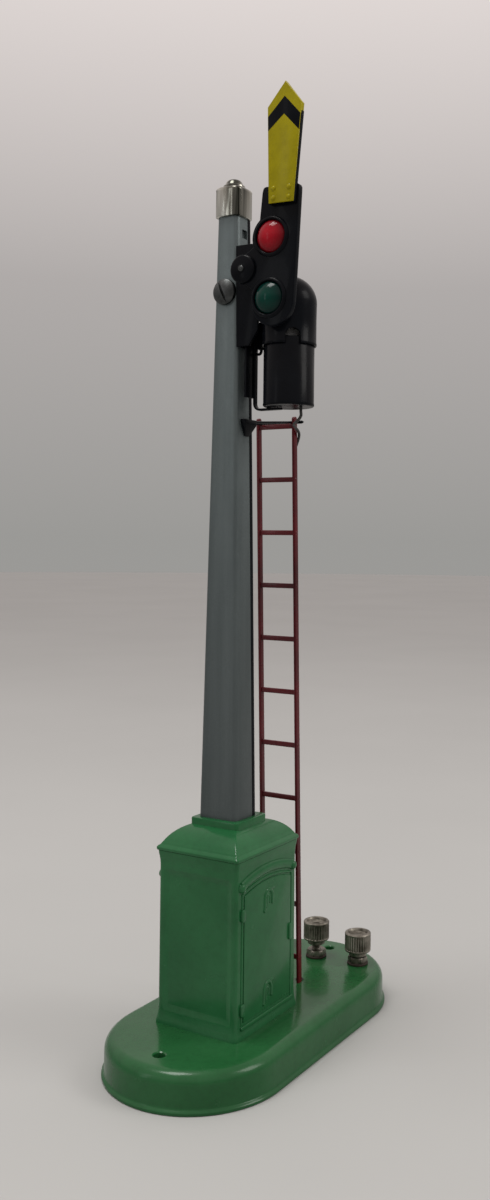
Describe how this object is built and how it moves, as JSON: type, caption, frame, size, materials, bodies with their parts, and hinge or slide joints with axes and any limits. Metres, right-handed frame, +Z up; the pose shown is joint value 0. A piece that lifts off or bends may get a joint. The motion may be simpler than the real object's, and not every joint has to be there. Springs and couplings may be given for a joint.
{
  "type": "model signal mast",
  "caption": "Toy railway semaphore signal: raised blade with red and green lenses, lamp house, tapered mast, ladder and a relay house on a stadium-shaped base.",
  "frame": {"origin": "centre of the object's box on the surface it stands on", "axes": "+Z up; the base is longest along Y; the blade and lenses face -Y; the blade and lamp stand on the +X side of the mast"},
  "size_m": [0.0753, 0.1484, 0.3728],
  "materials": {
    "base_enamel": "gloss",
    "house_enamel": "gloss",
    "nickel": "aged nickel plate",
    "zinc_steel": "satin",
    "mast_aluminium_paint": "satin metallic",
    "black_enamel": "gloss",
    "blade_enamel": "gloss",
    "red_glass": "gloss",
    "green_glass": "gloss",
    "bulb_glass": "clear",
    "brass": "dull",
    "lead_cloth": "matt",
    "black_rubber": "matt",
    "ladder_enamel": "gloss",
    "plunger_iron": "machined",
    "fibre": "matt",
    "magnet_wire": "lacquered"
  },
  "bodies": {
    "stand": {"base": "base_enamel", "bottom_plate": "base_enamel", "relay_house": "house_enamel", "house_roof": "house_enamel", "mast_cap": "nickel", "terminal_studs": "nickel", "terminal_nuts": "nickel", "stud_nuts": "nickel", "plate_screws": "zinc_steel", "house_screws": "zinc_steel", "bracket_screw": "zinc_steel", "bracket_nut": "zinc_steel", "coil_frame": "zinc_steel", "frame_screws": "zinc_steel", "mast": "mast_aluminium_paint", "mast_rear_strip": "black_enamel", "head_bracket": "black_enamel", "lamp_body": "black_enamel", "lamp_bracket": "black_enamel", "ladder_clip": "black_enamel", "ladder_stay": "black_enamel", "bulb": "bulb_glass", "lamp_socket": "brass", "lamp_lead": "lead_cloth", "lead_grommet": "black_rubber", "ladder": "ladder_enamel", "coil_bobbin": "fibre", "terminal_washers": "fibre", "coil_winding": "magnet_wire"},
    "signal_arm": {"pivot_shaft": "black_enamel", "shaft_collar": "zinc_steel", "crank_arm": "zinc_steel", "arm_plate": "black_enamel", "signal_blade": "blade_enamel", "blade_rivets": "blade_enamel", "red_lens": "red_glass", "green_lens": "green_glass", "lens_rings": "black_enamel"},
    "lift_rod": {"operating_rod": "zinc_steel", "plunger": "plunger_iron"},
    "hood": {"lamp_hood": "black_enamel"},
    "nut_left": {"thumb_nut_left": "nickel"},
    "nut_middle": {"thumb_nut_middle": "nickel"},
    "nut_right": {"thumb_nut_right": "nickel"}
  },
  "joints": [
    {"name": "arm_swing", "type": "hinge", "parent": "stand", "child": "signal_arm", "pos_m": [0.0124, -0.0305, 0.3044], "axis": [0, 1, 0], "range_deg": [0, 88]},
    {"name": "rod_lift", "type": "slide", "parent": "stand", "child": "lift_rod", "axis": [0, 0, 1], "range_m": [0, 0.00972]},
    {"name": "hood_lift", "type": "slide", "parent": "stand", "child": "hood", "axis": [0, 0, 1], "range_m": [0, 0.024]},
    {"name": "nut_left_turn", "type": "hinge", "parent": "stand", "child": "nut_left", "pos_m": [-0.02, 0.052, 0.025], "axis": [0, 0, 1], "continuous": true},
    {"name": "nut_middle_turn", "type": "hinge", "parent": "stand", "child": "nut_middle", "pos_m": [0, 0.05, 0.025], "axis": [0, 0, 1], "continuous": true},
    {"name": "nut_right_turn", "type": "hinge", "parent": "stand", "child": "nut_right", "pos_m": [0.02, 0.052, 0.025], "axis": [0, 0, 1], "continuous": true}
  ],
  "couplings": [
    {"joint": "rod_lift", "follows": "arm_swing", "m_per_rad": 0.006332}
  ]
}
